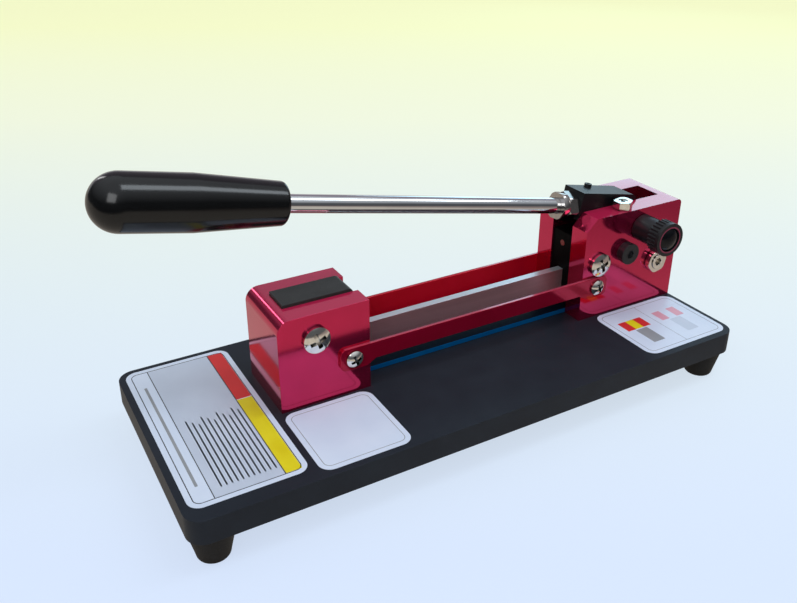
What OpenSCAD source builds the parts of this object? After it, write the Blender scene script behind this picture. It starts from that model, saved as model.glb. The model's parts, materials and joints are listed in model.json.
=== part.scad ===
// Lever paper cutter. A slotted tower stands at each end of the base. The blade and its carrier
// slide on slanted guides between the towers, and a long lever in the right tower drives them.

/* [Base] */
// Thickness of the base plate
base_t = 14.5; // [10:0.5:25]
// Corner radius of the base plate, seen from above
base_corner_r = 10; // [4:1:16]
// Base in front of the towers
front_margin = 61; // [45:0.5:120]
// Base behind the towers
rear_margin = 38.5; // [20:0.5:100]
// Base to the left of the left tower
left_margin = 72; // [45:0.5:120]
// Base to the right of the right tower
right_margin = 0; // [0:0.5:40]
// Height of the rubber feet
foot_h = 19.5; // [14:0.5:24]
// Diameter of a foot where it meets the base
foot_top_d = 26; // [22:0.5:28]
// Diameter of a foot where it meets the table
foot_bottom_d = 18; // [17:0.5:22]
// Distance of each foot's axis from the two nearest edges
foot_inset = 14; // [14:0.5:30]

/* [Towers] */
// Depth of both towers, front to back
tower_d = 47.5; // [44:0.5:60]
// Width of the slot through both towers
slot_w = 19.5; // [18:0.5:24]
// Length of the left tower
left_l = 56; // [52:1:80]
// Height of the left tower
left_h = 57.5; // [55:0.5:66]
// Wall at the closed end of the left slot
left_web = 9.3; // [6:0.1:10]
// Radius of the left tower's upper outer edge
left_edge_r = 8; // [2:0.5:9]
// Clear length between the towers
throat_l = 157; // [100:1:260]
// Length of the right tower
right_l = 82; // [80:0.5:110]
// Height of the right tower
right_h = 72; // [70:0.5:90]
// Wall at the closed end of the right slot
right_web = 8; // [5:0.5:9]
// Chamfer on the right tower's upper inner edge
right_chamfer = 8; // [3:0.5:10]
// Radius of the right tower's upper outer edge
right_edge_r = 3; // [1:0.5:6]

/* [Guards] */
// Thickness of the guard plates
guard_t = 2; // [1:0.5:4]
// Top of the guards above the base
guard_top = 30.6; // [28:0.1:34]
// Height of the front guard between the towers
guard_h = 10.8; // [8:0.1:13]
// Height of the front guard's ears
ear_h = 14.2; // [13.5:0.1:18]
// Height of the rear guard, a plain plate
rear_guard_h = 14.6; // [11:0.1:18]
// Length of a guard's end on its tower
ear_l = 19.8; // [17:0.1:24]
// Radius of the guards' corners
ear_r = 4; // [1:0.5:5]
// Distance of a guard screw from the tower's inner face
guard_screw_in = 11.2; // [8:0.1:12]

/* [Blade and carriage] */
// Thickness of the blade
blade_t = 5; // [3:0.5:6]
// Top of the blade above the base, with the lever as shown
blade_top = 29.7; // [27:0.1:31]
// Height of the ground bevel
bevel_h = 9; // [5:0.5:12]
// Slope of the guides that the carriage slides on
guide_angle = 70; // [65:1:75]
// Height of the cutting stick
stick_h = 3.2; // [2:0.1:5]
// Distance of the left guide screw from the left tower's outer face
left_guide_x = 22.5; // [21:0.1:25]
// Height of the left guide screw
left_guide_z = 42.1; // [41:0.1:43]
// Distance of the right guide screw from the right tower's inner face
right_guide_x = 13; // [11:0.1:13.5]
// Height of the right guide screw
right_guide_z = 39.1; // [38:0.1:40]
// Diameter of the guide screws
guide_d = 8; // [6:0.5:8]
// Diameter of the right guide screw's dog point
dog_d = 6; // [4:0.5:6]
// Thickness of the carrier's wall that holds the blade
carrier_wall = 8; // [7:0.5:9]
// Top of the carrier above the base
carrier_top = 56; // [50:0.5:57]
// Diameter of the drive pin
drive_pin_d = 5; // [4:0.5:5]
// Distance of the drive pin's path from the lever's pivot
drive_r = 14.5; // [14:0.1:15]

/* [Lever] */
// Distance of the lever's pivot from the right tower's inner face
pivot_x = 34.9; // [33:0.1:37]
// Height of the lever's pivot
pivot_z = 43.4; // [42:0.1:45]
// Diameter of the pivot screw
pivot_d = 10; // [8:0.5:11]
// Tilt of the rod as shown, upwards to the left
lever_tilt = 11.55; // [8:0.05:16]
// Height of the rod's axis over the pivot
arm_h = 23.7; // [22:0.1:26]
// Height of the knuckle
knuckle_h = 18.5; // [17:0.1:19]
// Height of the knuckle's top over the rod's axis
knuckle_top = 11.6; // [10.5:0.1:12.5]
// Length of the knuckle to the left of the pivot
knuckle_left = 35.1; // [26:0.1:36]
// Length of the knuckle to the right of the pivot
knuckle_right = 14; // [13:0.1:18]
// Radius of the knuckle's upper right edge
knuckle_edge_r = 6; // [1:0.5:10]
// Radius of the arm's hub
hub_r = 9; // [7:0.5:9]
// Thickness of the arm's tongue
tongue_t = 7; // [5:0.5:8]
// Diameter of the lever's rod
rod_d = 10.5; // [8:0.5:12]
// Reach of the rod: the grip starts this far from the left tower's outer face
grip_over = 8.2; // [-20:0.1:16]
// Width of the rod's nuts across their flats
rod_nut_af = 17; // [15:0.5:18]
// Thickness of the rod's main nut
rod_nut_h = 8; // [6:0.5:10]
// Thickness of the rod's jam nut
jam_nut_h = 5; // [3:0.5:8]
// Length of the grip
grip_l = 101; // [90:0.5:140]
// Largest diameter of the grip
grip_d = 30.6; // [26:0.2:36]
// Diameter of the grip where the rod enters
grip_neck_d = 24.2; // [18:0.1:25]
// Length of the grip's taper
grip_taper_l = 47; // [30:0.5:60]

/* [Stops and plunger] */
// Distance of the stop screw from the lever's pivot, to the right
stop_x = 27.7; // [25:0.1:29]
// Distance of the stop screw below the lever's pivot
stop_drop = 12.2; // [9:0.1:14]
// Diameter of the stop screw's dog point
stop_d = 6; // [4:0.5:7]
// Height of the bumper pad over the left tower
pad_rise = 2; // [1:0.1:4]
// Thickness of the bumper pad's top
pad_t = 5; // [4:0.1:5.5]
// Distance of the plunger's axis from the lever's pivot, to the right
plunger_x = 12.6; // [11:0.1:14]
// Height of the plunger's axis over the lever's pivot
plunger_up = 15.3; // [15:0.1:17]
// Diameter of the plunger's pin
plunger_pin_d = 6; // [4:0.5:7]
// Travel of the plunger when its knob is pulled
plunger_pull = 6; // [4:0.5:8]
// Diameter of the knob's skirt
skirt_d = 18; // [17:0.5:22]
// Length of the knob's skirt
skirt_l = 15.5; // [13:0.5:20]
// Diameter of the knob's knurled head
knob_d = 22.5; // [22:0.5:26]
// Length of the knob's knurled head
knob_l = 9.5; // [9:0.5:16]
// Count of the knob's grooves
knob_grooves = 27; // [16:1:30]

/* [Hidden] */
$fn = 64;

// Clearances: a running fit, a fixed fit, a gap at a stop, and the gap beside a sliding face
run_gap = 0.06;
fixed_gap = 0.03;
stop_gap = 0.3;
side_gap = 0.25;
drive_gap = 0.4;
// How far a cutting tool runs past a face
over = 1;
// How far the end of a screw, the rod or the blade stays from the end of its hole or seat
end_room = 1;
// Room round a screw's sunk head
head_room = 1;

// Places along the slot are counted from the left tower's outer face, and heights from the base
right_x = left_l + throat_l;
end_x = right_x + right_l;
half_d = tower_d / 2;
half_slot = slot_w / 2;
wall = half_d - half_slot;
wall_y = (half_d + half_slot) / 2;
left_guide = [left_guide_x, left_guide_z];
right_guide = [right_x + right_guide_x, right_guide_z];
pivot = [right_x + pivot_x, pivot_z];
stop = pivot + [stop_x, -stop_drop];
plunger = pivot + [plunger_x, plunger_up];

// The pad stops the lever going down, where the rod lands or where the grip's neck does
pad_top = left_h + pad_rise;
pad_bottom = pad_top - pad_t;
pad_gap = 0.2;
pad_left = left_web + pad_gap;
pad_inset = 3;
pad_right = left_l - pad_inset;
grip_from = grip_over - pivot.x;
grip_land_r = grip_neck_d / 2 + max(0, grip_over - pad_left) * (grip_d - grip_neck_d) / 2 / grip_taper_l;
rod_land = [pivot.x - pad_right, arm_h - rod_d / 2];
grip_land = [pivot.x - pad_left, arm_h - grip_land_r];
function tilt_on_pad(at) = asin((pad_top + stop_gap - pivot_z) / norm(at)) - atan2(at.y, at.x);
landed_tilt = max(tilt_on_pad(rod_land), tilt_on_pad(grip_land));
// The stop screw stops it going up, under the heel of the arm
heel_drop = 11.6;
heel_h = 6.5;
heel_over = 1;
heel_z = arm_h - heel_drop;
stop_far = norm([stop_x, stop_drop]);
stop_under = asin((heel_z - stop_d / 2 - stop_gap) / stop_far);
heel_l = stop_far * cos(stop_under) + heel_over;
raised_tilt = stop_under + atan2(stop_drop, stop_x);
lever_drop = lever_tilt - landed_tilt;
lever_rise = raised_tilt - lever_tilt;

// The drive pin goes along a straight path at drive_r from the pivot, close to an even rate
mid_turn = (lever_rise - lever_drop) / 2;
half_turn = (lever_rise + lever_drop) / 2;
rad = PI / 180;
travel_per_rad = drive_r * (1 + tan(half_turn) / (half_turn * rad)) / 2;
travel_down = travel_per_rad * lever_drop * rad;
travel_up = travel_per_rad * lever_rise * rad;
down_dir = [cos(guide_angle), -sin(guide_angle)];
out_dir = [-sin(guide_angle), -cos(guide_angle)];
drive_at = pivot + drive_r * out_dir + drive_r * tan(mid_turn) * down_dir;
tongue_angle = atan2(drive_at.y - pivot.y, drive_at.x - pivot.x);
drive_far = drive_r / cos(half_turn);

// The cutting edge comes down to just above the stick
blade_edge = stick_h + stop_gap - travel_down * down_dir.y;
blade_ear_left = left_web + travel_up * down_dir.x + stop_gap;
ear_wall = 4;
ear_over = 1;
blade_ear_right = left_guide_x + travel_up * down_dir.x + guide_d + ear_wall;
blade_ear_top = left_guide_z - travel_down * down_dir.y + ear_over;
blade_slope = 8;
carrier_gap = 1;
carrier_left = right_x + carrier_gap;
carrier_seat = carrier_left + carrier_wall;
blade_right = carrier_seat - end_room;
carrier_w = slot_w - 2 * stop_gap;
carrier_lift = 2;
carrier_bottom = blade_edge + carrier_lift;
carrier_under = 9;
carrier_step = drive_at.y - carrier_under;
tongue_play = 0.35;
tongue_gap = tongue_t + 2 * tongue_play;
tongue_wall = 2.7;
hub_gap = 0.5;
carrier_edge_r = hub_r + hub_gap;
groove_floor = 1.6;
groove_depth = (carrier_w - tongue_gap) / 2 - groove_floor;
bush_wall = 3;
bolt_inset = 5;
carrier_bolts = [for (z = [carrier_bottom + bolt_inset, blade_top - bolt_inset])
    [carrier_left + carrier_wall / 2, z]];

// Fasteners. A cross recess and a nut's rounding are shares of the head or nut they belong to.
cross_l = 0.62;
cross_w = 0.16;
cross_depth = 0.55;
cross_turn = 20;
nut_round = 1.06;
big_head_d = 15.9;
big_head_h = 4.2;
big_crown = 0.45;
small_head_d = 10.5;
small_head_h = 3.4;
small_crown = 0.65;
guard_screw_d = 5;
guard_screw_l = 12;
pivot_head_d = 14.6;
pivot_head_h = 3.3;
pivot_socket = 5;
pivot_socket_in = 1.98;
washer_d = 14.2;
washer_t = 2.4;
pivot_lock_d = 6;
pivot_nut_af = 11.4;
pivot_nut_h = 5.5;
pivot_nut_turn = 30;
pivot_lock_sink = 0.5;
stop_shank_d = 10;
stop_nut_af = 15;
stop_nut_h = 4.2;
stop_nut_turn = 12;
stop_rise = 0.8;
tower_screw_d = 6;
tower_screw_in = 14;
tower_screw_inset = 14;
tower_bolt_head_d = 10;
tower_bolt_head_h = 6;
tower_socket = 4.8;
foot_screw_d = 5;
foot_screw_in = 9;
foot_edge_r = 2.5;
foot_head_d = 8;
foot_head_h = 3;
carrier_screw_d = 4;
carrier_head_d = 7;
carrier_head_h = 2.4;
plug_d = 4;
plug_l = 5;
plug_drop = 8;
plug_z = carrier_top - plug_drop;

// Knob and plunger, measured outwards from the tower's face
skirt_gap = 0.5;
plunger_body_d = 12;
plunger_nose_d = 14;
spring_d = 9.4;
spring_gap = 0.4;
spring_solid = 3;
collar_t = 2;
body_lid = 3;
plunger_nose_l = 4;
nose_room = 1;
lock_room = 1;
knob_bore_l = skirt_l - end_room;
pin_in_knob = 4;
cap_d = 16;
cap_seat = 2;
cap_t = 3.6;
cap_inset = 0.8;
knob_end = skirt_gap + skirt_l + knob_l;
pin_tip = -wall;
spring_to = plunger_nose_l - body_lid;
spring_from = spring_to - plunger_pull - spring_solid;

// Half length of the slope between a guard's ear and its middle
ear_slope = 3;

// Depth of the rod in the knuckle and in the grip. A headless screw, from the knuckle's left end and
// beside the rod's axis, lies in a notch in the rod's flank and keeps the rod in its seat.
rod_seat = 22;
rod_grip_in = 30;
rod_lock_d = 5;
rod_lock_in = 16.6;
rod_lock_side = 6;
rod_lock_rise = 2.2;
rod_lock_under = 0.5;
rod_nut_turn = 15;
jam_nut_turn = 35;

// Overall places: the origin is on the table, under the middle of the whole cutter
grip_ball = grip_from - grip_l + grip_d / 2;
grip_tip = pivot.x + grip_ball * cos(lever_tilt) + arm_h * sin(lever_tilt) - grip_d / 2;
base_l = left_margin + end_x + right_margin;
base_w = front_margin + tower_d + rear_margin;
base_top = foot_h + base_t;
x0 = -(min(-left_margin, grip_tip) + end_x + right_margin) / 2;
base_x = x0 - left_margin + base_l / 2;
slot_y = -base_w / 2 + front_margin + half_d;
foot_spots = [for (sx = [-1, 1], sy = [-1, 1])
    [base_x + sx * (base_l / 2 - foot_inset), sy * (base_w / 2 - foot_inset)]];
tower_rows = [
    tower_screw_inset, left_l - tower_screw_inset, right_x + tower_screw_inset, end_x - tower_screw_inset
];
tower_spots = [for (x = tower_rows, sy = [-1, 1]) [x, sy * wall_y]];

// Values that the record's joints repeat
echo(lever_drop = lever_drop, lever_rise = lever_rise, travel_per_rad = travel_per_rad);
echo(travel_down = travel_down, travel_up = travel_up, blade_edge = blade_edge);
echo(pivot = [x0 + pivot.x, slot_y, base_top + pivot.y]);
echo(plunger = [x0 + plunger.x, slot_y, base_top + plunger.y]);
echo(feet = foot_spots, left_face = x0, right_face = x0 + right_x, slot_y = slot_y, base_top = base_top);

// Frames of reference
module slot_frame() {
    translate([x0, slot_y, base_top]) children();
}

module front_face(at) {
    slot_frame() translate([at.x, -half_d, at.y]) rotate([90, 0, 0]) children();
}

module rear_face(at) {
    slot_frame() translate([at.x, half_d, at.y]) rotate([-90, 0, 0]) children();
}

module lever_frame() {
    slot_frame() translate([pivot.x, 0, pivot.y]) rotate([0, lever_tilt, 0]) children();
}

// A piece along the rod: its own Z runs towards the grip
module rod_frame(from) {
    lever_frame() translate([from, 0, arm_h]) rotate([0, -90, 0]) children();
}

// Shared shapes
module along_y(w) {
    rotate([90, 0, 0]) linear_extrude(w, center = true) children();
}

module round_rect(l, w, r) {
    square([l - 2 * r, w], center = true);
    square([l, w - 2 * r], center = true);
    for (sx = [-1, 1], sy = [-1, 1]) translate([sx * (l / 2 - r), sy * (w / 2 - r)]) circle(r);
}

// A bore along Y, and a slot along Y that follows the guides' slope
module bore_y(at, d, w = tower_d + 2 * over) {
    translate([at.x, 0, at.y]) rotate([90, 0, 0]) cylinder(d = d, h = w, center = true);
}

module slope_slot(at, up, down, d, w) {
    translate([at.x, 0, at.y]) rotate([0, guide_angle, 0]) {
        translate([-up, -w / 2, -d / 2]) cube([up + down, w, d]);
        for (s = [-up, down]) translate([s, 0, 0]) rotate([90, 0, 0]) cylinder(d = d, h = w, center = true);
    }
}

module hex(af, h) {
    cylinder(d = af / cos(30), h = h, $fn = 6);
}

// Domed head with a cross recess, on a shank that runs down from z = 0
module cross_screw(head_d, head_h, shank_d, shank_l, crown_part = small_crown) {
    crown = head_h * crown_part;
    ball_r = (head_d * head_d / 4 + crown * crown) / (2 * crown);
    recess = head_h * cross_depth;
    difference() {
        intersection() {
            cylinder(d = head_d, h = head_h);
            translate([0, 0, head_h - ball_r]) sphere(ball_r, $fn = 96);
        }
        for (turn = [0, 90]) rotate(turn + cross_turn)
            translate([-head_d * cross_l / 2, -head_d * cross_w / 2, head_h - recess])
                cube([head_d * cross_l, head_d * cross_w, recess + over]);
    }
    translate([0, 0, -shank_l]) cylinder(d = shank_d, h = shank_l);
}

// Headless screw with a hex socket in its upper end, z from 0 to l
module set_screw(d, l) {
    socket = d / 2;
    difference() {
        cylinder(d = d, h = l);
        translate([0, 0, l - socket]) hex(socket, socket + over);
    }
}

module nut(af, h, bore_d) {
    difference() {
        intersection() {
            hex(af, h);
            translate([0, 0, h / 2]) sphere(norm([af / 2, h / 2]) * nut_round, $fn = 96);
        }
        translate([0, 0, -over]) cylinder(d = bore_d, h = h + 2 * over);
    }
}

// Standing frame
module base_plate() color([0.12, 0.13, 0.15]) difference() {
    translate([base_x, 0, foot_h]) linear_extrude(base_t) round_rect(base_l, base_w, base_corner_r);
    for (p = tower_spots) translate([x0 + p.x, slot_y + p.y, foot_h - over]) {
        cylinder(d = tower_screw_d + 2 * fixed_gap, h = base_t + 2 * over);
        cylinder(d = tower_bolt_head_d + head_room, h = tower_bolt_head_h + head_room + over);
    }
    for (p = foot_spots) translate([p.x, p.y, foot_h - over])
        cylinder(d = foot_screw_d + 2 * fixed_gap, h = foot_screw_in + over + end_room);
}

module feet() color([0.06, 0.06, 0.06]) for (p = foot_spots) translate([p.x, p.y, 0]) difference() {
    union() {
        rotate_extrude() translate([foot_bottom_d / 2 - foot_edge_r, foot_edge_r]) circle(foot_edge_r);
        cylinder(d = foot_bottom_d - 2 * foot_edge_r, h = foot_edge_r + over);
        translate([0, 0, foot_edge_r])
            cylinder(d1 = foot_bottom_d, d2 = foot_top_d, h = foot_h - foot_edge_r);
    }
    translate([0, 0, -over]) cylinder(d = foot_head_d + head_room, h = foot_h / 2 + over);
    cylinder(d = foot_screw_d + 2 * fixed_gap, h = foot_h + over);
}

module foot_screws() color("silver") for (p = foot_spots) translate([p.x, p.y, foot_h / 2])
    rotate([180, 0, 0]) cross_screw(foot_head_d, foot_head_h, foot_screw_d, foot_h / 2 + foot_screw_in);

module tower_screws() color([0.15, 0.15, 0.15]) for (p = tower_spots)
    translate([x0 + p.x, slot_y + p.y, foot_h + head_room]) {
        difference() {
            cylinder(d = tower_bolt_head_d, h = tower_bolt_head_h);
            translate([0, 0, -over]) hex(tower_socket, tower_bolt_head_h / 2 + over);
        }
        cylinder(d = tower_screw_d, h = base_t - head_room + tower_screw_in);
    }

module tower_bores(first, last) {
    for (i = [first:last]) translate([tower_spots[i].x, tower_spots[i].y, -over])
        cylinder(d = tower_screw_d + 2 * fixed_gap, h = tower_screw_in + end_room + over);
}

module guard_bores(x) {
    depth = guard_screw_l - guard_t + end_room;
    for (sy = [-1, 1]) translate([x, sy * half_d, guard_top - ear_h / 2]) rotate([90, 0, 0])
        cylinder(d = guard_screw_d + 2 * fixed_gap, h = 2 * depth, center = true);
}

module left_tower() color([0.62, 0.10, 0.20]) slot_frame() difference() {
    along_y(tower_d) {
        translate([left_edge_r, 0]) square([left_l - left_edge_r, left_h]);
        square([left_l / 2, left_h - left_edge_r]);
        translate([left_edge_r, left_h - left_edge_r]) circle(left_edge_r);
    }
    translate([left_web, -half_slot, -over]) cube([left_l, slot_w, left_h + 2 * over]);
    bore_y(left_guide, guide_d + 2 * fixed_gap);
    guard_bores(left_l - guard_screw_in);
    tower_bores(0, 3);
}

module right_tower() color([0.62, 0.10, 0.20]) slot_frame() difference() {
    along_y(tower_d) translate([right_x, 0]) {
        polygon([
            [0, 0], [right_l, 0], [right_l, right_h - right_edge_r],
            [right_l - right_edge_r, right_h], [right_chamfer, right_h], [0, right_h - right_chamfer]
        ]);
        translate([right_l - right_edge_r, right_h - right_edge_r]) circle(right_edge_r);
    }
    translate([right_x - over, -half_slot, -over])
        cube([right_l - right_web + over, slot_w, right_h + 2 * over]);
    translate([0, -wall_y, 0]) {
        bore_y(right_guide, guide_d + 2 * fixed_gap, wall + 2 * over);
        bore_y(stop, stop_shank_d + 2 * fixed_gap, wall + 2 * over);
        bore_y(plunger, plunger_body_d + 2 * fixed_gap, wall + 2 * over);
        translate([pivot.x, 0, pivot.y])
            cylinder(d = pivot_lock_d + 2 * fixed_gap, h = right_h - pivot.y + over);
    }
    bore_y(pivot, pivot_d + 2 * fixed_gap);
    guard_bores(right_x + guard_screw_in);
    tower_bores(4, 7);
}

// Guards: plates that lie on the towers, and the front one is less deep between them
module guard_plate(h) {
    translate([(left_l + right_x) / 2, guard_top - h / 2]) round_rect(throat_l + 2 * ear_l, h, ear_r);
}

module front_outline() {
    bottom = guard_top - ear_h;
    rise = ear_h - guard_h;
    difference() {
        guard_plate(ear_h);
        polygon([
            [left_l - ear_slope, bottom - over], [left_l - ear_slope, bottom],
            [left_l + ear_slope, bottom + rise], [right_x - ear_slope, bottom + rise],
            [right_x + ear_slope, bottom], [right_x + ear_slope, bottom - over]
        ]);
    }
}

module guard(side) {
    slot_frame() difference() {
        translate([0, side * (half_d + guard_t / 2), 0]) along_y(guard_t) children();
        for (x = [left_l - guard_screw_in, right_x + guard_screw_in])
            bore_y([x, guard_top - ear_h / 2], guard_screw_d + 2 * fixed_gap, tower_d + 2 * (guard_t + over));
    }
}

module front_guard() color([0.55, 0.06, 0.15]) guard(-1) front_outline();

module rear_guard() color([0.55, 0.06, 0.15]) guard(1) guard_plate(rear_guard_h);

module guard_screws() color("silver") for (x = [left_l - guard_screw_in, right_x + guard_screw_in]) {
    at = [x, guard_top - ear_h / 2];
    front_face(at) translate([0, 0, guard_t])
        cross_screw(small_head_d, small_head_h, guard_screw_d, guard_screw_l);
    rear_face(at) translate([0, 0, guard_t])
        cross_screw(small_head_d, small_head_h, guard_screw_d, guard_screw_l);
}

// The pad's top fills the slot, and its stem goes down between the walls beside the blade's ear
module bumper_pad() color([0.05, 0.05, 0.05]) slot_frame() {
    pad_r = 3;
    stem_left = blade_ear_right + blade_slope;
    stem_gap = 1.5;
    stem_bottom = blade_top - travel_up * down_dir.y + stem_gap;
    along_y(slot_w) {
        translate([pad_left, pad_bottom]) square([pad_right - pad_left - pad_r, pad_t]);
        translate([pad_left, pad_bottom]) square([pad_right - pad_left, pad_t - pad_r]);
        translate([pad_right - pad_r, pad_top - pad_r]) circle(pad_r);
        translate([stem_left, stem_bottom]) square([pad_right - stem_left, pad_bottom - stem_bottom + over]);
    }
}

module cutting_stick() color([0.0, 0.22, 0.43]) slot_frame() {
    reach = 12;
    translate([left_l - reach, -half_slot + side_gap / 2, 0])
        cube([throat_l + 2 * reach, slot_w - side_gap, stick_h]);
}

// Blade carriage
module blade() color([0.75, 0.74, 0.72]) slot_frame() difference() {
    along_y(blade_t) polygon([
        [blade_ear_left, blade_edge], [blade_ear_left, blade_ear_top], [blade_ear_right, blade_ear_top],
        [blade_ear_right + blade_slope, blade_top], [blade_right, blade_top], [blade_right, blade_edge]
    ]);
    bevel_rise = bevel_h * (blade_t + over) / blade_t;
    translate([0, 0, blade_edge]) rotate([90, 0, 90]) linear_extrude(end_x)
        polygon([
            [-blade_t / 2 - over, bevel_rise], [blade_t / 2, 0],
            [blade_t / 2, -over], [-blade_t / 2 - over, -over]
        ]);
    ear_slot_w = guide_d + 2 * run_gap;
    slope_slot(left_guide, travel_down + guide_d, travel_up + stop_gap, ear_slot_w, blade_t + 2 * over);
    for (p = carrier_bolts) bore_y(p, carrier_screw_d + 2 * fixed_gap);
}

// The right edge of the carrier is parallel to the guides and clears the arm's hub
function carrier_edge(z) =
    let (p = pivot + carrier_edge_r * out_dir) p.x + (z - p.y) * down_dir.x / down_dir.y;

module blade_carrier() color([0.07, 0.07, 0.08]) slot_frame() difference() {
    along_y(carrier_w) polygon([
        [carrier_left, carrier_bottom], [carrier_left, carrier_top],
        [carrier_edge(carrier_top), carrier_top], [carrier_edge(carrier_step), carrier_step],
        [carrier_seat, carrier_step], [carrier_seat, carrier_bottom]
    ]);
    translate([carrier_seat, -tongue_gap / 2, carrier_step - over])
        cube([right_l, tongue_gap, carrier_top - carrier_step + 2 * over]);
    translate([carrier_left - over, -blade_t / 2, carrier_bottom - over])
        cube([carrier_wall + 2 * over, blade_t, blade_top - carrier_bottom + over]);
    groove_w = dog_d + stop_gap;
    translate([0, -carrier_w / 2, 0])
        slope_slot(right_guide, travel_down + stop_gap, travel_up + stop_gap, groove_w, 2 * groove_depth);
    bore_y(drive_at, drive_pin_d + 2 * fixed_gap);
    for (p = carrier_bolts) {
        bore_y(p, carrier_screw_d + 2 * fixed_gap);
        translate([0, -carrier_w / 2, 0])
            bore_y(p, carrier_head_d + 2 * fixed_gap, 2 * (carrier_head_h + fixed_gap));
    }
    translate([carrier_left - over, 0, plug_z]) rotate([0, 90, 0])
        cylinder(d = plug_d + 2 * fixed_gap, h = plug_l + over);
}

module carrier_screws() color("silver") slot_frame() for (p = carrier_bolts)
    translate([p.x, -carrier_w / 2, p.y]) rotate([-90, 0, 0]) {
        cylinder(d = carrier_head_d, h = carrier_head_h);
        cylinder(d = carrier_screw_d, h = carrier_w - end_room);
    }

module drive_pin() color("silver") slot_frame() bore_y(drive_at, drive_pin_d, carrier_w - 2 * stop_gap);

module carrier_plug() color([0.55, 0.05, 0.05]) slot_frame()
    translate([carrier_left, 0, plug_z]) rotate([0, 90, 0]) cylinder(d = plug_d, h = plug_l - stop_gap);

module left_guide_screw() color("silver") front_face(left_guide)
    cross_screw(big_head_d, big_head_h, guide_d, tower_d - end_room, big_crown);

module guide_bushes() color([0.70, 0.58, 0.30]) slot_frame() for (sy = [-1, 1]) {
    bush_l = half_slot - blade_t / 2 - run_gap;
    translate([0, sy * (half_slot - bush_l / 2), 0]) difference() {
        bore_y(left_guide, guide_d + 2 * bush_wall, bush_l);
        bore_y(left_guide, guide_d + 2 * fixed_gap);
    }
}

module right_guide_screw() color("silver") front_face(right_guide) {
    dog_l = groove_depth;
    cross_screw(big_head_d, big_head_h, guide_d, wall - end_room, big_crown);
    translate([0, 0, -wall - dog_l]) cylinder(d = dog_d, h = dog_l + 2 * over);
}

// Lever
module lever_arm() color([0.06, 0.06, 0.07]) difference() {
    union() {
        lever_frame() along_y(slot_w - 2 * side_gap) {
            circle(hub_r);
            translate([-hub_r, 0]) square([2 * hub_r, arm_h]);
            translate([0, heel_z]) square([heel_l, heel_h]);
            translate([0, arm_h + knuckle_top]) {
                translate([-knuckle_left, -knuckle_h])
                    square([knuckle_left + knuckle_right - knuckle_edge_r, knuckle_h]);
                translate([0, -knuckle_h]) square([knuckle_right, knuckle_h - knuckle_edge_r]);
                translate([knuckle_right - knuckle_edge_r, -knuckle_edge_r]) circle(knuckle_edge_r);
            }
        }
        tongue_r = drive_pin_d / 2 + drive_gap + tongue_wall;
        slot_frame() translate([pivot.x, 0, pivot.y]) rotate([0, -tongue_angle, 0]) along_y(tongue_t) {
            translate([0, -tongue_r]) square([drive_far, 2 * tongue_r]);
            translate([drive_far, 0]) circle(tongue_r);
        }
    }
    slot_frame() bore_y(pivot, pivot_d + 2 * run_gap);
    slot_frame() translate([plunger.x, -half_slot, plunger.y]) rotate([90, 0, 0])
        cylinder(d = plunger_pin_d + lock_room, h = slot_w, center = true);
    slot_frame() translate([pivot.x, 0, pivot.y]) rotate([0, -tongue_angle, 0]) {
        slot_half = drive_pin_d / 2 + drive_gap;
        near = drive_r - drive_gap;
        translate([near, -tongue_t, -slot_half]) cube([drive_far - near, 2 * tongue_t, 2 * slot_half]);
        for (r = [near, drive_far]) bore_y([r, 0], 2 * slot_half);
    }
    rod_frame(-knuckle_left + rod_seat) cylinder(d = rod_d + 2 * fixed_gap, h = rod_seat + over);
    rod_lock_bore();
}

module lever_rod() color([0.80, 0.80, 0.82]) difference() {
    rod_frame(-knuckle_left + rod_seat - end_room)
        cylinder(d = rod_d, h = rod_seat - end_room - knuckle_left - grip_from + rod_grip_in);
    rod_lock_bore();
}

module rod_nut() color("silver") rod_frame(-knuckle_left)
    rotate(rod_nut_turn) nut(rod_nut_af, rod_nut_h, rod_d + 2 * fixed_gap);

module jam_nut() color("silver") rod_frame(-knuckle_left - rod_nut_h)
    rotate(jam_nut_turn) nut(rod_nut_af, jam_nut_h, rod_d + 2 * fixed_gap);

// The lock screw's own Z runs up from the bottom of its bore
module rod_lock_frame() {
    bottom = arm_h - rod_d / 2 - rod_lock_under;
    lever_frame() translate([rod_lock_in - knuckle_left, rod_lock_side, bottom]) children();
}

module rod_lock_bore() {
    rod_lock_frame() cylinder(d = rod_lock_d + 2 * fixed_gap, h = knuckle_h);
}

module rod_lock_screw() color([0.10, 0.10, 0.10]) rod_lock_frame() translate([0, 0, fixed_gap])
    set_screw(rod_lock_d, rod_d / 2 + knuckle_top + rod_lock_under + rod_lock_rise - fixed_gap);

module handle_grip() color([0.03, 0.03, 0.03]) rod_frame(grip_from) difference() {
    neck_r = 2.5;
    body_from = neck_r + grip_taper_l;
    union() {
        rotate_extrude() translate([grip_neck_d / 2 - neck_r, neck_r]) circle(neck_r);
        cylinder(d = grip_neck_d - 2 * neck_r, h = neck_r + over);
        translate([0, 0, neck_r]) cylinder(d1 = grip_neck_d, d2 = grip_d, h = grip_taper_l);
        translate([0, 0, body_from]) cylinder(d = grip_d, h = grip_l - body_from - grip_d / 2);
        translate([0, 0, grip_l - grip_d / 2]) sphere(d = grip_d);
    }
    translate([0, 0, -over]) cylinder(d = rod_d + 2 * fixed_gap, h = rod_grip_in + over + end_room);
}

module lever_pivot_screw() color([0.06, 0.06, 0.06]) front_face(pivot) {
    translate([0, 0, washer_t]) difference() {
        cylinder(d = pivot_head_d, h = pivot_head_h);
        translate([0, 0, pivot_head_h - pivot_socket_in]) hex(pivot_socket, pivot_socket_in + over);
    }
    translate([0, 0, end_room - tower_d]) cylinder(d = pivot_d, h = tower_d - end_room + washer_t + over);
}

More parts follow.
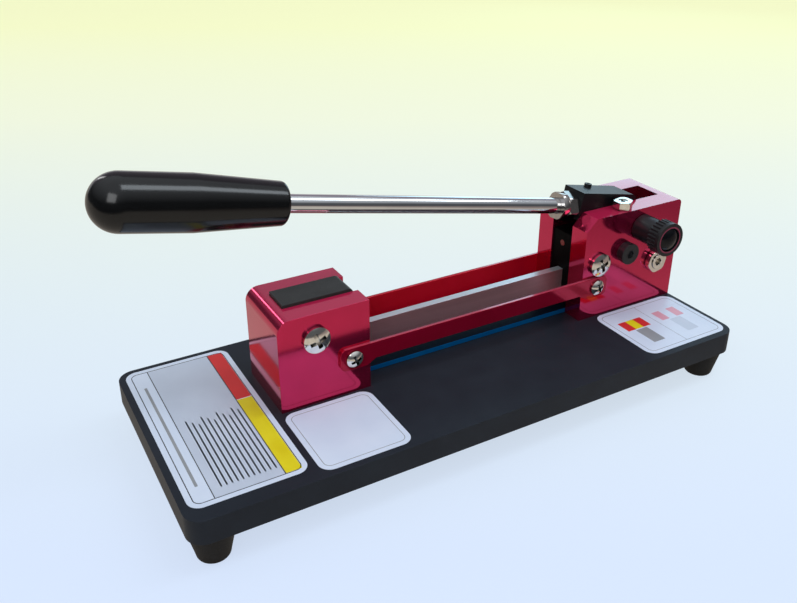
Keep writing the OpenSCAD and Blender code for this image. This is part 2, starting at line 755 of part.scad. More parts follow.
module pivot_washer() color([0.10, 0.10, 0.10]) front_face(pivot) difference() {
    cylinder(d = washer_d, h = washer_t);
    translate([0, 0, -over]) cylinder(d = pivot_d + 2 * fixed_gap, h = washer_t + 2 * over);
}

module pivot_lock_screw() color("silver") slot_frame() {
    from = pivot.y + pivot_d / 2 + fixed_gap;
    to = right_h + pivot_nut_h - pivot_lock_sink;
    translate([pivot.x, -wall_y, from]) set_screw(pivot_lock_d, to - from);
}

module pivot_lock_nut() color("silver") slot_frame() translate([pivot.x, -wall_y, right_h])
    rotate(pivot_nut_turn) nut(pivot_nut_af, pivot_nut_h, pivot_lock_d + 2 * fixed_gap);

module stop_screw() color("silver") front_face(stop) {
    dog_l = half_slot;
    translate([0, 0, -wall]) set_screw(stop_shank_d, wall + stop_nut_h + stop_rise);
    translate([0, 0, -wall - dog_l]) cylinder(d = stop_d, h = dog_l + over);
}

module stop_nut() color("silver") front_face(stop)
    rotate(stop_nut_turn) nut(stop_nut_af, stop_nut_h, stop_shank_d + 2 * fixed_gap);

// Safety plunger
module plunger_body() color([0.35, 0.35, 0.37]) front_face(plunger) difference() {
    union() {
        translate([0, 0, pin_tip]) cylinder(d = plunger_body_d, h = wall + plunger_nose_l);
        cylinder(d = plunger_nose_d, h = plunger_nose_l);
    }
    translate([0, 0, pin_tip - over]) cylinder(d = plunger_pin_d + 2 * run_gap, h = knob_end);
    translate([0, 0, spring_from - collar_t - run_gap])
        cylinder(d = spring_d + 2 * run_gap, h = spring_to - spring_from + collar_t + 2 * run_gap);
}

module plunger_pin() color("silver") front_face(plunger) {
    translate([0, 0, pin_tip]) cylinder(d = plunger_pin_d, h = skirt_gap + skirt_l + pin_in_knob - pin_tip);
    translate([0, 0, spring_from - collar_t]) cylinder(d = spring_d, h = collar_t);
}

module plunger_spring() color("gray") front_face(plunger) difference() {
    translate([0, 0, spring_from]) cylinder(d = spring_d, h = spring_to - spring_from);
    translate([0, 0, spring_from - over])
        cylinder(d = plunger_pin_d + spring_gap, h = spring_to - spring_from + 2 * over);
}

module plunger_knob() color([0.08, 0.08, 0.09]) front_face(plunger) difference() {
    groove_r = 0.9;
    rim_l = 2.5;
    head_from = skirt_gap + skirt_l;
    union() {
        translate([0, 0, skirt_gap]) cylinder(d = skirt_d, h = skirt_l + over);
        translate([0, 0, head_from]) cylinder(d = knob_d, h = knob_l);
    }
    for (i = [1:knob_grooves]) rotate(i * 360 / knob_grooves)
        translate([knob_d / 2, 0, head_from - over])
            cylinder(r = groove_r, h = knob_l - rim_l + over, $fn = 16);
    translate([0, 0, skirt_gap - over]) cylinder(d = plunger_nose_d + nose_room, h = knob_bore_l + over);
    cylinder(d = plunger_pin_d + 2 * run_gap, h = head_from + pin_in_knob + over);
    translate([0, 0, knob_end - cap_seat]) cylinder(d = cap_d + 2 * fixed_gap, h = cap_seat + over);
}

module knob_cap() color([0.12, 0.12, 0.13]) front_face(plunger) translate([0, 0, knob_end - cap_seat]) {
    crown = cap_t - cap_inset;
    ball_r = (cap_d * cap_d / 4 + crown * crown) / (2 * crown);
    intersection() {
        cylinder(d = cap_d, h = cap_t);
        translate([0, 0, cap_t - ball_r]) sphere(ball_r, $fn = 300);
    }
}

base_plate();
feet();
foot_screws();
left_tower();
right_tower();
tower_screws();
front_guard();
rear_guard();
guard_screws();
bumper_pad();
cutting_stick();
blade();
blade_carrier();
carrier_screws();
drive_pin();
carrier_plug();
left_guide_screw();
guide_bushes();
right_guide_screw();
lever_arm();
lever_rod();
rod_nut();
jam_nut();
rod_lock_screw();
handle_grip();
lever_pivot_screw();
pivot_washer();
pivot_lock_screw();
pivot_lock_nut();
stop_screw();
stop_nut();
plunger_body();
plunger_pin();
plunger_spring();
plunger_knob();
knob_cap();
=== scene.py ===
"""Looks of the lever paper cutter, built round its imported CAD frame. Metres, in the CAD frame."""

import json
import math

import bmesh
import bpy
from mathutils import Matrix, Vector


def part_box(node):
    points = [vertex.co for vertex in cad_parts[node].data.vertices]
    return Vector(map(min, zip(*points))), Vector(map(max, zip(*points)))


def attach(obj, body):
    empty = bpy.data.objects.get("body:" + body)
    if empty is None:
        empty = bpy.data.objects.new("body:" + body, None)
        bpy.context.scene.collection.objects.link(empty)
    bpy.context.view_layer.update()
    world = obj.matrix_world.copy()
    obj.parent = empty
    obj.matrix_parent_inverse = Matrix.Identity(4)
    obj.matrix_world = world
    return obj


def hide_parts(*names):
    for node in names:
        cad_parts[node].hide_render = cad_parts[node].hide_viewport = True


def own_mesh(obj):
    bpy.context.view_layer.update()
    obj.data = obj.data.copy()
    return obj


MM = 0.001
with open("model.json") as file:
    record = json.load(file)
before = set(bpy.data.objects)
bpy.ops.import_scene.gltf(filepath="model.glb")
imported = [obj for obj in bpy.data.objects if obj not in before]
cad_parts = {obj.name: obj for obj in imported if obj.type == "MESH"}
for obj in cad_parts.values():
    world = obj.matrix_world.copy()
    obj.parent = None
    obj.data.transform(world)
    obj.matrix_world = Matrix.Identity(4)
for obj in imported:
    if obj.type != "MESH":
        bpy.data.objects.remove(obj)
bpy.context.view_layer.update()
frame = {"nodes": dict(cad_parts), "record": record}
scene = bpy.context.scene
nodes = frame["nodes"]
record = frame["record"]
body_of = {
    node: body
    for body, names in record["behaviour"]["bodies"].items()
    for node in names
}


# Materials
NOISE_LOW, NOISE_HIGH = 0.3, 0.7  # nearly all of a noise texture's values lie between these
CLOUD, PATCH, GRAIN = 60, 300, 1500  # noise scales, coarse to fine
CLOUD_DETAIL, GRAIN_DETAIL = 3.0, 4.0
RELIEF_STRENGTH = 0.6
CLEAR_ROUGHNESS = 0.08


class Shader:
    """A Principled material with short ways to add and join nodes."""

    def __init__(self, name):
        self.material = bpy.data.materials.new(name)
        self.material.use_nodes = True
        self.tree = self.material.node_tree
        self.surface = self.tree.nodes["Principled BSDF"]

    def add(self, kind, **inputs):
        made = self.tree.nodes.new("ShaderNode" + kind)
        for key, value in inputs.items():
            self.give(made.inputs[key.replace("_", " ")], value)
        return made

    def give(self, socket, value):
        if isinstance(value, bpy.types.NodeSocket):
            self.tree.links.new(value, socket)
        else:
            socket.default_value = value

    def set(self, **inputs):
        for key, value in inputs.items():
            self.give(self.surface.inputs[key.replace("_", " ")], value)

    def place(self, stretch=(1, 1, 1)):
        """Object coordinates, stretched."""
        where = self.add("TexCoord").outputs["Object"]
        return self.add("Mapping", Vector=where, Scale=stretch).outputs["Vector"]

    def scale(self, value, from_low=0.0, from_high=1.0, to_low=0.0, to_high=1.0):
        """value taken from one range to another, and kept inside the second."""
        made = self.add("MapRange", Value=value)
        for key, bound in (("From Min", from_low), ("From Max", from_high), ("To Min", to_low), ("To Max", to_high)):
            made.inputs[key].default_value = bound
        return made.outputs["Result"]

    def noise(self, where, scale, detail=CLOUD_DETAIL):
        return self.add("TexNoise", Vector=where, Scale=scale, Detail=detail).outputs["Fac"]

    def spread(self, noise, low, high):
        """A noise taken to the range low to high."""
        return self.scale(noise, NOISE_LOW, NOISE_HIGH, low, high)

    def clouds(self, where, scale, dark, light):
        """A colour that drifts between dark and light."""
        return self.mix(self.spread(self.noise(where, scale), 0.0, 1.0), dark, light)

    def mix(self, factor, a, b):
        made = self.tree.nodes.new("ShaderNodeMix")
        made.data_type = "RGBA"
        sockets = {s.identifier: s for s in made.inputs}
        self.give(sockets["Factor_Float"], factor)
        self.give(sockets["A_Color"], (*a, 1) if isinstance(a, tuple) else a)
        self.give(sockets["B_Color"], (*b, 1) if isinstance(b, tuple) else b)
        return next(s for s in made.outputs if s.identifier == "Result_Color")

    def ramp(self, value, stops):
        """A colour that runs through stops, each a position and a colour."""
        made = self.add("ValToRGB", Fac=value)
        elements = made.color_ramp.elements
        for element, (position, colour) in zip(elements, (stops[0], stops[-1])):
            element.position, element.color = position, (*colour, 1)
        for position, colour in stops[1:-1]:
            elements.new(position).color = (*colour, 1)
        return made.outputs["Color"]

    def upward(self, low=0.6, high=0.9):
        """1 on faces that look up, 0 on the others."""
        facing = self.add("SeparateXYZ", Vector=self.add("TexCoord").outputs["Normal"]).outputs["Z"]
        return self.scale(facing, low, high)

    def bump(self, height, depth):
        made = self.add("Bump", Height=height)
        made.inputs["Distance"].default_value = depth
        made.inputs["Strength"].default_value = RELIEF_STRENGTH
        self.set(Normal=made.outputs["Normal"])


def surface(name, dark, light, rough, metallic=0.0, cloud=CLOUD, relief=0.0, specular=0.5):
    """A finish whose colour, roughness and relief (in millimetres) vary with noise."""
    made = Shader(name)
    where = made.place()
    fine = made.noise(where, GRAIN, GRAIN_DETAIL)
    made.set(
        Base_Color=made.clouds(where, cloud, dark, light),
        Roughness=made.spread(fine, *rough),
        Metallic=metallic,
        Specular_IOR_Level=specular,
    )
    if relief:
        made.bump(fine, relief * MM)
    return made.material


def anodised(name, dark, light, top, rough, metallic, coat):
    """Dyed metal that mirrors on its sides; faces that look up get their own colour, less metal and a deeper clear
    layer, painted light that stands in for the way light falls on the tops.
    """
    flat_from, flat_to = 0.92, 0.99
    top_metallic, top_coat = 0.1, 0.8
    made = Shader(name)
    where = made.place()
    # Painted light: faces that look up get a separate colour, metal share and clear layer.
    up = made.upward(flat_from, flat_to)
    made.set(
        Base_Color=made.mix(up, made.clouds(where, CLOUD, dark, light), top),
        Roughness=made.spread(made.noise(where, GRAIN, GRAIN_DETAIL), *rough),
        Metallic=made.scale(up, to_low=metallic, to_high=top_metallic),
        Coat_Weight=made.scale(up, to_low=coat, to_high=top_coat),
        Coat_Roughness=CLEAR_ROUGHNESS,
    )
    return made.material


def plated_steel():
    """Bright plating with painted shade in its hollows and where it meets other parts."""
    rough = (0.10, 0.18)
    hollow_reach = 2.5 * MM
    shaded_below, unshaded_above = 0.45, 0.9
    hollow_shade, dull, bright = (0.05, 0.045, 0.04), (0.84, 0.80, 0.73), (0.94, 0.91, 0.85)
    made = Shader("plated")
    where = made.place()
    # Painted shade: the ambient-occlusion share darkens hollows and where the screws meet other parts.
    open_share = made.add("AmbientOcclusion", Distance=hollow_reach).outputs["AO"]
    unshaded = made.scale(open_share, shaded_below, unshaded_above)
    made.set(
        Base_Color=made.mix(unshaded, hollow_shade, made.clouds(where, PATCH, dull, bright)),
        Roughness=made.spread(made.noise(where, GRAIN, GRAIN_DETAIL), *rough),
        Metallic=1.0,
    )
    return made.material


def blade_steel():
    """Steel ground along its length; its pink sides are a painted reflection of the red guards, and its brighter top
    face is a painted highlight.
    """
    along_blade = (0.04, 1, 1)
    streaks, scratches = 400, 2500
    # The pink of dark and light is a painted reflection of the red guards; top is a painted highlight.
    dark, light, top, rough = (0.84, 0.44, 0.45), (0.92, 0.50, 0.51), (0.70, 0.73, 0.76), (0.32, 0.42)
    made = Shader("blade_steel")
    where = made.place(along_blade)
    body = made.clouds(where, streaks, dark, light)
    made.set(
        Base_Color=made.mix(made.upward(), body, top),
        Roughness=made.spread(made.noise(where, scratches, GRAIN_DETAIL), *rough),
        Metallic=0.8,
    )
    return made.material


def stick_plastic():
    """Blue plastic whose upper face is painted near-black, a painted shadow of the blade and guards above it."""
    # top is a painted shadow of the blade and guards; the sides keep the plastic's blue.
    dark, light, top, rough = (0.0, 0.10, 0.30), (0.0, 0.13, 0.36), (0.001, 0.006, 0.013), (0.35, 0.50)
    made = Shader("stick_blue")
    where = made.place()
    side = made.clouds(where, CLOUD, dark, light)
    made.set(
        Base_Color=made.mix(made.upward(), side, top),
        Roughness=made.spread(made.noise(where, GRAIN, GRAIN_DETAIL), *rough),
        Specular_IOR_Level=0.05,
    )
    return made.material


base_black = surface("base_black", dark=(0.007, 0.011, 0.018), light=(0.010, 0.015, 0.023), rough=(0.46, 0.54),
                     relief=0.008, specular=0.25)
rubber = surface("rubber", dark=(0.008, 0.008, 0.008), light=(0.014, 0.013, 0.012), rough=(0.55, 0.70),
                 relief=0.03, specular=0.2)
# Each top colour is painted light on the faces that look up.
crimson = anodised("crimson", dark=(0.61, 0.014, 0.084), light=(0.67, 0.017, 0.096), top=(0.48, 0.012, 0.065),
                   rough=(0.08, 0.14), metallic=0.9, coat=0.38)
# The guard's paler, pinker top is a painted highlight along its top edge.
crimson_plate = anodised("crimson_plate", dark=(0.42, 0.001, 0.026), light=(0.47, 0.002, 0.033),
                         top=(0.40, 0.05, 0.09), rough=(0.08, 0.12), metallic=0.6, coat=0.15)
crimson_back = anodised("crimson_back", dark=(0.80, 0.003, 0.026), light=(0.86, 0.005, 0.034),
                        top=(0.40, 0.01, 0.03), rough=(0.10, 0.16), metallic=0.35, coat=0.1)
plated = plated_steel()
black_oxide = surface("black_oxide", dark=(0.012, 0.012, 0.013), light=(0.022, 0.022, 0.024), rough=(0.28, 0.40),
                      metallic=0.3)
pad_black = surface("pad_black", dark=(0.022, 0.023, 0.022), light=(0.033, 0.034, 0.033), rough=(0.42, 0.55),
                    relief=0.02, specular=0.25)
stick_blue = stick_plastic()
ground_steel = blade_steel()
arm_black = surface("arm_black", dark=(0.003, 0.003, 0.004), light=(0.005, 0.005, 0.007), rough=(0.34, 0.44),
                    relief=0.008, specular=0.25)
carrier_black = surface("carrier_black", dark=(0.002, 0.002, 0.002), light=(0.004, 0.004, 0.004), rough=(0.45, 0.60),
                        specular=0.05)
chrome = surface("chrome", dark=(0.68, 0.69, 0.71), light=(0.75, 0.76, 0.77), rough=(0.05, 0.09), metallic=1.0)
nut_steel = surface("nut_steel", dark=(0.42, 0.39, 0.37), light=(0.50, 0.47, 0.45), rough=(0.10, 0.18), metallic=1.0,
                    cloud=PATCH)
red_plastic = surface("red_plastic", dark=(0.20, 0.006, 0.006), light=(0.28, 0.010, 0.010), rough=(0.20, 0.30))
brass = surface("brass", dark=(0.50, 0.36, 0.14), light=(0.62, 0.46, 0.20), rough=(0.20, 0.30), metallic=1.0)
grip_black = surface("grip_black", dark=(0.002, 0.002, 0.002), light=(0.003, 0.003, 0.003), rough=(0.14, 0.19),
                     specular=0.42)
turned_steel = surface("turned_steel", dark=(0.26, 0.26, 0.28), light=(0.36, 0.36, 0.38), rough=(0.25, 0.35),
                       metallic=1.0)
knob_black = surface("knob_black", dark=(0.007, 0.007, 0.008), light=(0.012, 0.012, 0.014), rough=(0.34, 0.44),
                     relief=0.008, specular=0.4)
cap_black = surface("cap_black", dark=(0.003, 0.003, 0.004), light=(0.005, 0.005, 0.006), rough=(0.10, 0.16),
                    specular=0.25)
ring_red = surface("ring_red", dark=(0.24, 0.012, 0.045), light=(0.30, 0.018, 0.055), rough=(0.30, 0.40))

PAPER_CLOUD = 40
paper = surface("paper", dark=(0.60, 0.67, 0.81), light=(0.66, 0.72, 0.85), rough=(0.30, 0.40), cloud=PAPER_CLOUD)
field = surface("field", dark=(0.48, 0.53, 0.64), light=(0.54, 0.59, 0.70), rough=(0.30, 0.40), cloud=PAPER_CLOUD)
ink = surface("ink", dark=(0.025, 0.026, 0.030), light=(0.040, 0.042, 0.046), rough=(0.40, 0.50))
ink_red = surface("ink_red", dark=(0.58, 0.018, 0.020), light=(0.66, 0.026, 0.026), rough=(0.35, 0.45))
ink_pink = surface("ink_pink", dark=(0.66, 0.30, 0.38), light=(0.72, 0.36, 0.44), rough=(0.35, 0.45))
ink_yellow = surface("ink_yellow", dark=(0.70, 0.56, 0.0), light=(0.78, 0.66, 0.01), rough=(0.35, 0.45))
ink_grey = surface("ink_grey", dark=(0.24, 0.25, 0.27), light=(0.30, 0.31, 0.33), rough=(0.40, 0.50))


# Pieces
SAME_POINT = 1e-6
BEVEL_SEGMENTS = 2
FLAT_ANGLE, SHARP_ANGLE = math.radians(0.3), math.radians(30)


def link(name, mesh, material, body):
    made = bpy.data.objects.new(name, mesh)
    scene.collection.objects.link(made)
    mesh.materials.append(material)
    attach(made, body)
    return made


def soften(node, material, edge):
    """A copy of a CAD node with its edges rounded by edge millimetres, shown in the node's place."""
    source = nodes[node].data
    mesh = bpy.data.meshes.new(node + "_finish")
    mesh.from_pydata([v.co for v in source.vertices], [], [list(p.vertices) for p in source.polygons])
    shape = bmesh.new()
    shape.from_mesh(mesh)
    bmesh.ops.remove_doubles(shape, verts=shape.verts, dist=SAME_POINT)
    bmesh.ops.dissolve_limit(shape, angle_limit=FLAT_ANGLE, verts=shape.verts, edges=shape.edges)
    shape.to_mesh(mesh)
    shape.free()
    mesh.shade_smooth()
    made = link(node + "_finish", mesh, material, body_of[node])
    if edge:
        bevel = made.modifiers.new("edges", "BEVEL")
        bevel.width = edge * MM
        bevel.segments = BEVEL_SEGMENTS
        bevel.limit_method = "ANGLE"
        bevel.angle_limit = SHARP_ANGLE
        bevel.harden_normals = True
    else:
        mesh.set_sharp_from_angle(angle=SHARP_ANGLE)
    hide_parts(node)
    return made


# Each node's material, and how far its edges are rounded, in millimetres
FINISHES = {
    "base_plate": (base_black, 1.4), "feet": (rubber, 0), "foot_screws": (plated, 0),
    "left_tower": (crimson, 0.7), "right_tower": (crimson, 0.7), "tower_screws": (black_oxide, 0),
    "front_guard": (crimson_plate, 0.6), "rear_guard": (crimson_back, 0.4), "guard_screws": (plated, 0),
    "bumper_pad": (pad_black, 0.3), "cutting_stick": (stick_blue, 0.3), "blade": (ground_steel, 0.1),
    "blade_carrier": (carrier_black, 0.4), "carrier_screws": (plated, 0), "drive_pin": (chrome, 0),
    "carrier_plug": (red_plastic, 0), "left_guide_screw": (plated, 0), "guide_bushes": (brass, 0),
    "right_guide_screw": (plated, 0), "lever_arm": (arm_black, 0.6), "lever_rod": (chrome, 0),
    "rod_nut": (nut_steel, 0.15), "jam_nut": (nut_steel, 0.15), "rod_lock_screw": (black_oxide, 0.1),
    "handle_grip": (grip_black, 0), "lever_pivot_screw": (black_oxide, 0.25), "pivot_washer": (black_oxide, 0.1),
    "pivot_lock_screw": (plated, 0.1), "pivot_lock_nut": (plated, 0.1), "stop_screw": (plated, 0.1),
    "stop_nut": (plated, 0.1), "plunger_body": (turned_steel, 0), "plunger_pin": (chrome, 0),
    "plunger_spring": (turned_steel, 0), "plunger_knob": (knob_black, 0.2), "knob_cap": (cap_black, 0),
}
finished = {node: soften(node, material, edge) for node, (material, edge) in FINISHES.items()}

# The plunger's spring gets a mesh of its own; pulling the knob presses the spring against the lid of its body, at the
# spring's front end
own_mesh(finished["plunger_spring"])


# Labels: plain white stickers on the base, with lines and colour bands but no lettering.
# A sticker is x0, y0, x1, y1 in millimetres from the left tower's low front left corner.
tower_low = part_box("left_tower")[0]
STICKER_T, PRINT_T = 0.12 * MM, 0.03 * MM
LEFT_STICKER = (-68.0, -51.5, -5.0, 82.5)
MIDDLE_STICKER = (-1.0, -57.0, 53.0, -2.0)
RIGHT_STICKER = (224.5, -56.5, 292.0, -1.5)
STICKER_ROUND, FRAME_ROUND, PRINT_ROUND, LINE_ROUND = 7, 4, 0.4, 0.2
FRAME_IN = 3  # from a sticker's edge to its printed frame
THICK_LINE, THIN_LINE = 0.5, 0.4


def rounded(x0, y0, x1, y1, r, steps=8):
    """Corners of a rounded rectangle, anticlockwise."""
    turns = [(x1 - r, y1 - r, 0), (x0 + r, y1 - r, 90), (x0 + r, y0 + r, 180), (x1 - r, y0 + r, 270)]
    points = []
    for cx, cy, start in turns:
        for i in range(steps + 1):
            a = math.radians(start + 90 * i / steps)
            points.append((cx + r * math.cos(a), cy + r * math.sin(a)))
    return points


def finish_mesh(name, shape):
    bmesh.ops.recalc_face_normals(shape, faces=shape.faces)
    mesh = bpy.data.meshes.new(name)
    shape.to_mesh(mesh)
    shape.free()
    return mesh


def sheet_mesh(name, loops, low, high):
    """A flat piece from one outline, or a ring between two, from low to high above the base."""
    shape = bmesh.new()
    rows = []
    for loop in loops:
        for z in (low, high):
            rows.append([
                shape.verts.new((tower_low.x + x * MM, tower_low.y + y * MM, tower_low.z + z))
                for x, y in loop
            ])
    count = len(loops[0])
    for k in range(0, len(rows), 2):
        for i in range(count):
            j = (i + 1) % count
            shape.faces.new((rows[k][i], rows[k][j], rows[k + 1][j], rows[k + 1][i]))
    if len(loops) == 1:
        shape.faces.new(rows[0][::-1])
        shape.faces.new(rows[1])
    else:
        for i in range(count):
            j = (i + 1) % count
            shape.faces.new((rows[1][i], rows[1][j], rows[3][j], rows[3][i]))
            shape.faces.new((rows[0][i], rows[0][j], rows[2][j], rows[2][i]))
    return finish_mesh(name, shape)


def sticker(name, x0, y0, x1, y1):
    link(name, sheet_mesh(name, [rounded(x0, y0, x1, y1, STICKER_ROUND)], 0, STICKER_T), paper, "frame")


def block(name, x0, y0, x1, y1, material, r=PRINT_ROUND):
    """A printed block on a sticker."""
    mesh = sheet_mesh(name, [rounded(x0, y0, x1, y1, r)], STICKER_T, STICKER_T + PRINT_T)
    link(name, mesh, material, "frame")


def outline(name, x0, y0, x1, y1, w, material):
    """A printed frame, w wide, inside a sticker's edge."""
    x0, y0, x1, y1 = x0 + FRAME_IN, y0 + FRAME_IN, x1 - FRAME_IN, y1 - FRAME_IN
    outer = rounded(x0, y0, x1, y1, FRAME_ROUND)
    inner = rounded(x0 + w, y0 + w, x1 - w, y1 - w, FRAME_ROUND - w)
    link(name, sheet_mesh(name, [outer, inner], STICKER_T, STICKER_T + PRINT_T), material, "frame")


def left_label():
    """A column with one bar, a field of lines, and a red and yellow band."""
    x0, y0, x1, y1 = LEFT_STICKER
    column_w, band_w, band_split = 13.5, 13.0, 25.5
    band_line, band_in = 0.6, 3.6
    bar_from, bar_to, bar_low, bar_high = 7.2, 8.8, 16, 20
    lines, line_start, line_pitch, line_w, line_round = 11, 5, 2.9, 0.8, 0.3
    line_low, line_high, line_step, line_lengths = 10, 6, 3, 3
    inside = FRAME_IN + THICK_LINE
    rule, band = x0 + column_w, x1 - band_w
    sticker("left_sticker", x0, y0, x1, y1)
    block("left_field", rule, y0 + inside, band, y1 - inside, field)
    outline("left_frame", x0, y0, x1, y1, THICK_LINE, ink)
    block("left_rule", rule - THICK_LINE, y0 + inside, rule, y1 - inside, ink, LINE_ROUND)
    block("left_band_edge", band, y0 + inside, band + band_line, y1 - inside, ink, LINE_ROUND)
    block("left_red", band + band_line, band_split, x1 - band_in, y1 - band_in, ink_red)
    block("left_yellow", band + band_line, y0 + band_in, x1 - band_in, band_split - band_line, ink_yellow)
    block("left_bar", x0 + bar_from, y0 + bar_low, x0 + bar_to, y1 - bar_high, ink_grey)
    for i in range(lines):
        x = rule + line_start + line_pitch * i
        end = band_split - line_high - line_step * (i % line_lengths)
        block(f"left_line_{i}", x, y0 + line_low, x + line_w, end, ink_grey, line_round)


def middle_label():
    """A bare frame."""
    sticker("middle_sticker", *MIDDLE_STICKER)
    outline("middle_frame", *MIDDLE_STICKER, THIN_LINE, ink_grey)


def right_label():
    """Two halves, each with a row of three blocks and one below it."""
    x0, y0, x1, y1 = RIGHT_STICKER
    rule_w, rule_round = 0.3, 0.1
    left_in, right_in = 8, 4.5
    block_w, row_low, row_high = 6.5, 26, 15
    end_from, end_to, end_low, end_high, end_round = 5, 14.5, 44, 27, 0.6
    inside = FRAME_IN + THIN_LINE
    middle = (x0 + x1) / 2
    sticker("right_sticker", x0, y0, x1, y1)
    outline("right_frame", x0, y0, x1, y1, THIN_LINE, ink_grey)
    block("right_rule", middle - rule_w, y0 + inside, middle, y1 - inside, ink_grey, rule_round)
    halves = (
        ("left", x0 + left_in, (ink_red, ink_yellow, ink_red), ink_grey),
        ("right", middle + right_in, (ink_pink, paper, ink_pink), field),
    )
    for half, start, tones, end_tone in halves:
        for i, tone in enumerate(tones):
            x = start + block_w * i
            block(f"right_{half}_{i}", x, y1 - row_low, x + block_w, y1 - row_high, tone, LINE_ROUND)
        block(f"right_{half}_end", start + end_from, y1 - end_low, start + end_to, y1 - end_high, end_tone, end_round)


left_label()
middle_label()
right_label()


def cap_ring():
    """A thin dark red ring round the knob's cap."""
    inner, outer, count = 8.2 * MM, 9.0 * MM, 96
    shape = bmesh.new()
    knob_low, knob_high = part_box("plunger_knob")
    x, z = (knob_low.x + knob_high.x) / 2, (knob_low.z + knob_high.z) / 2
    back, front = knob_low.y, knob_low.y - PRINT_T
    turns = [i * math.tau / count for i in range(count)]
    rows = [
        [shape.verts.new((x + r * math.cos(a), y, z + r * math.sin(a))) for a in turns]
        for r, y in ((inner, back), (inner, front), (outer, front), (outer, back))
    ]
    for a, b in zip(rows, rows[1:] + rows[:1]):
        for i in range(count):
            j = (i + 1) % count
            shape.faces.new((a[i], a[j], b[j], b[i]))
    link("cap_ring", finish_mesh("cap_ring", shape), ring_red, "knob")


cap_ring()


# Stage: a pale floor, turned to face the camera, that rises into a backdrop
TURN, TILT = math.radians(-29.47), math.radians(25.1)
STAGE_NEAR, STAGE_HALF_W, STAGE_H = -3.0, 4.0, 3.5
BEND_FROM, BEND_R, BEND_STEP = 1.9, 0.8, 10


def stage_material():
    """Seen directly it is pale blue near the camera and pale yellow far off; mirrors see it darker and grey."""
    seen_from, seen_to = -0.2, 1.8
    seen_stops = (
        (0.03, (0.69, 0.79, 0.97)), (0.17, (0.76, 0.85, 0.89)), (0.42, (0.89, 0.94, 0.75)), (0.75, (0.95, 0.99, 0.62)),
    )
    floor_left, floor_right = (0.54, 0.49, 0.43), (0.26, 0.21, 0.195)
    wall_low, wall_high, behind_camera = (0.80, 0.81, 0.83), (0.28, 0.25, 0.30), (0.07, 0.07, 0.075)
    side_from, side_to = 0.20, 0.42  # across the floor, where its mirror image darkens
    foot_from, foot_to = 0.015, 0.12  # from the floor up to the wall
    wall_from, wall_to = 0.45, 0.9  # up the wall
    near_from, near_to = -0.62, -0.44  # from behind the camera forward
    glow_share, glow_strength = 0.8, 1.045
    made = Shader("stage")
    split = made.add("SeparateXYZ", Vector=made.place()).outputs
    seen = made.ramp(made.scale(split["Y"], seen_from, seen_to), seen_stops)
    floor = made.mix(made.scale(split["X"], side_from, side_to), floor_left, floor_right)
    wall = made.mix(made.scale(split["Z"], wall_from, wall_to), wall_low, wall_high)
    ahead = made.mix(made.scale(split["Z"], foot_from, foot_to), floor, wall)
    mirrored = made.mix(made.scale(split["Y"], near_from, near_to), behind_camera, ahead)
    rays = made.add("LightPath").outputs
    made.set(Base_Color=seen, Roughness=0.9, Specular_IOR_Level=0.0)
    glow = made.add("Emission", Color=made.mix(rays["Is Camera Ray"], mirrored, seen), Strength=glow_strength)
    share = made.tree.nodes.new("ShaderNodeMath")
    share.operation = "MULTIPLY_ADD"
    for socket, value in zip(share.inputs, (rays["Is Camera Ray"], glow_share, rays["Is Glossy Ray"])):
        made.give(socket, value)
    both = made.add("MixShader", Fac=share.outputs[0])
    made.give(both.inputs[1], made.surface.outputs[0])
    made.give(both.inputs[2], glow.outputs[0])
    made.give(made.tree.nodes["Material Output"].inputs["Surface"], both.outputs[0])
    return made.material


def build_stage():
    shape = bmesh.new()
    profile = [(STAGE_NEAR, 0.0), (BEND_FROM, 0.0)]
    for turn in range(BEND_STEP, 90 + BEND_STEP, BEND_STEP):
        a = math.radians(turn)
        profile.append((BEND_FROM + BEND_R * math.sin(a), BEND_R - BEND_R * math.cos(a)))
    profile.append((BEND_FROM + BEND_R, STAGE_H))
    rows = [[shape.verts.new((x, y, z)) for x in (-STAGE_HALF_W, STAGE_HALF_W)] for y, z in profile]
    for a, b in zip(rows, rows[1:]):
        shape.faces.new((a[0], a[1], b[1], b[0]))
    mesh = bpy.data.meshes.new("stage")
    shape.to_mesh(mesh)
    shape.free()
    mesh.shade_smooth()
    mesh.materials.append(stage_material())
    made = bpy.data.objects.new("stage", mesh)
    made.rotation_euler.z = TURN
    scene.collection.objects.link(made)


build_stage()


# Camera: the photograph's view, from a fit to its straight edges
FOCAL_PX, PICTURE_PX, CENTRE_ABOVE_PX = 850.5, 797, 48.5
CAMERA_FROM_TOWER = Vector((-0.1362, -0.3732, 0.2829))
eye = bpy.data.cameras.new("camera")
eye.sensor_width = 36
eye.lens = eye.sensor_width * FOCAL_PX / PICTURE_PX
eye.shift_y = -CENTRE_ABOVE_PX / PICTURE_PX
eye.clip_start, eye.clip_end = 0.01, 20
camera = bpy.data.objects.new("camera", eye)
scene.collection.objects.link(camera)
back = Vector((math.sin(TURN) * math.cos(TILT), -math.cos(TURN) * math.cos(TILT), math.sin(TILT)))
camera.location = tower_low + CAMERA_FROM_TOWER
camera.rotation_mode = "QUATERNION"
camera.rotation_quaternion = (-back).to_track_quat("-Z", "Y")
scene.camera = camera


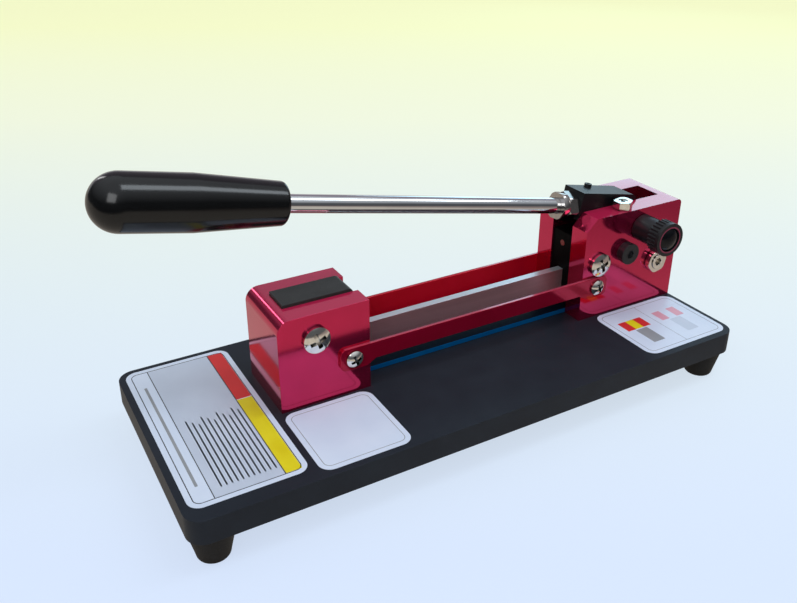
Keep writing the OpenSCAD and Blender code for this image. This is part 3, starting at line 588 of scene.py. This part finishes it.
# Light
LAMPS = {
    "overhead": {"at": (0.75, -0.34, 1.25), "aim": (0.75, -0.34, 0), "size": (1.4, 0.40), "radiance": 4.8,
                 "colour": (0.84, 0.93, 1.0)},
    "key": {"at": (-0.48, -0.42, 0.55), "aim": (-0.05, 0, 0.05), "size": (0.35, 0.35), "radiance": 3.4,
            "colour": (0.96, 0.98, 1.0)},
    "window": {"at": (1.15, 1.0, 0.55), "aim": (0.15, 0.0, 0.1), "size": (0.6, 0.65), "radiance": 1.9,
               "colour": (0.48, 0.83, 1.0)},
    "streak": {"at": (-0.45, 1.4, 0.8), "aim": (-0.08, 0.0, 0.1), "size": (0.12, 0.6), "radiance": 5.0,
               "colour": (1.0, 1.0, 1.0)},
}


def area(name, at, aim, size, radiance, colour):
    """A lamp that shows in reflections but not to the camera."""
    lamp = bpy.data.lights.new(name, "AREA")
    lamp.shape = "RECTANGLE"
    lamp.size, lamp.size_y = size
    lamp.energy = radiance * math.pi * size[0] * size[1]
    lamp.color = colour
    made = bpy.data.objects.new(name, lamp)
    scene.collection.objects.link(made)
    made.location = at
    made.rotation_euler = (Vector(aim) - Vector(at)).to_track_quat("-Z", "Y").to_euler()
    made.visible_camera = False


for name, lamp in LAMPS.items():
    area(name, **lamp)


def build_world():
    """A plain sky that is dim at the horizon and bright overhead, and pale where the camera sees past the stage."""
    sky_colour, past_stage = (0.88, 0.93, 1.0, 1), (0.76, 0.85, 0.89, 1)
    sky_range = {"From Min": 0.25, "From Max": 0.9, "To Min": 0.10, "To Max": 0.95}
    world = bpy.data.worlds.new("world")
    scene.world = world
    world.use_nodes = True
    tree = world.node_tree
    where = tree.nodes.new("ShaderNodeTexCoord")
    split = tree.nodes.new("ShaderNodeSeparateXYZ")
    rise = tree.nodes.new("ShaderNodeMapRange")
    sky = tree.nodes["Background"]
    pale = tree.nodes.new("ShaderNodeBackground")
    rays = tree.nodes.new("ShaderNodeLightPath")
    seen = tree.nodes.new("ShaderNodeMixShader")
    for key, value in sky_range.items():
        rise.inputs[key].default_value = value
    sky.inputs["Color"].default_value = sky_colour
    pale.inputs["Color"].default_value = past_stage
    tree.links.new(where.outputs["Generated"], split.inputs[0])
    tree.links.new(split.outputs["Z"], rise.inputs["Value"])
    tree.links.new(rise.outputs["Result"], sky.inputs["Strength"])
    tree.links.new(rays.outputs["Is Camera Ray"], seen.inputs["Fac"])
    tree.links.new(sky.outputs[0], seen.inputs[1])
    tree.links.new(pale.outputs[0], seen.inputs[2])
    tree.links.new(seen.outputs[0], tree.nodes["World Output"].inputs["Surface"])


build_world()
scene.view_settings.view_transform = "Standard"
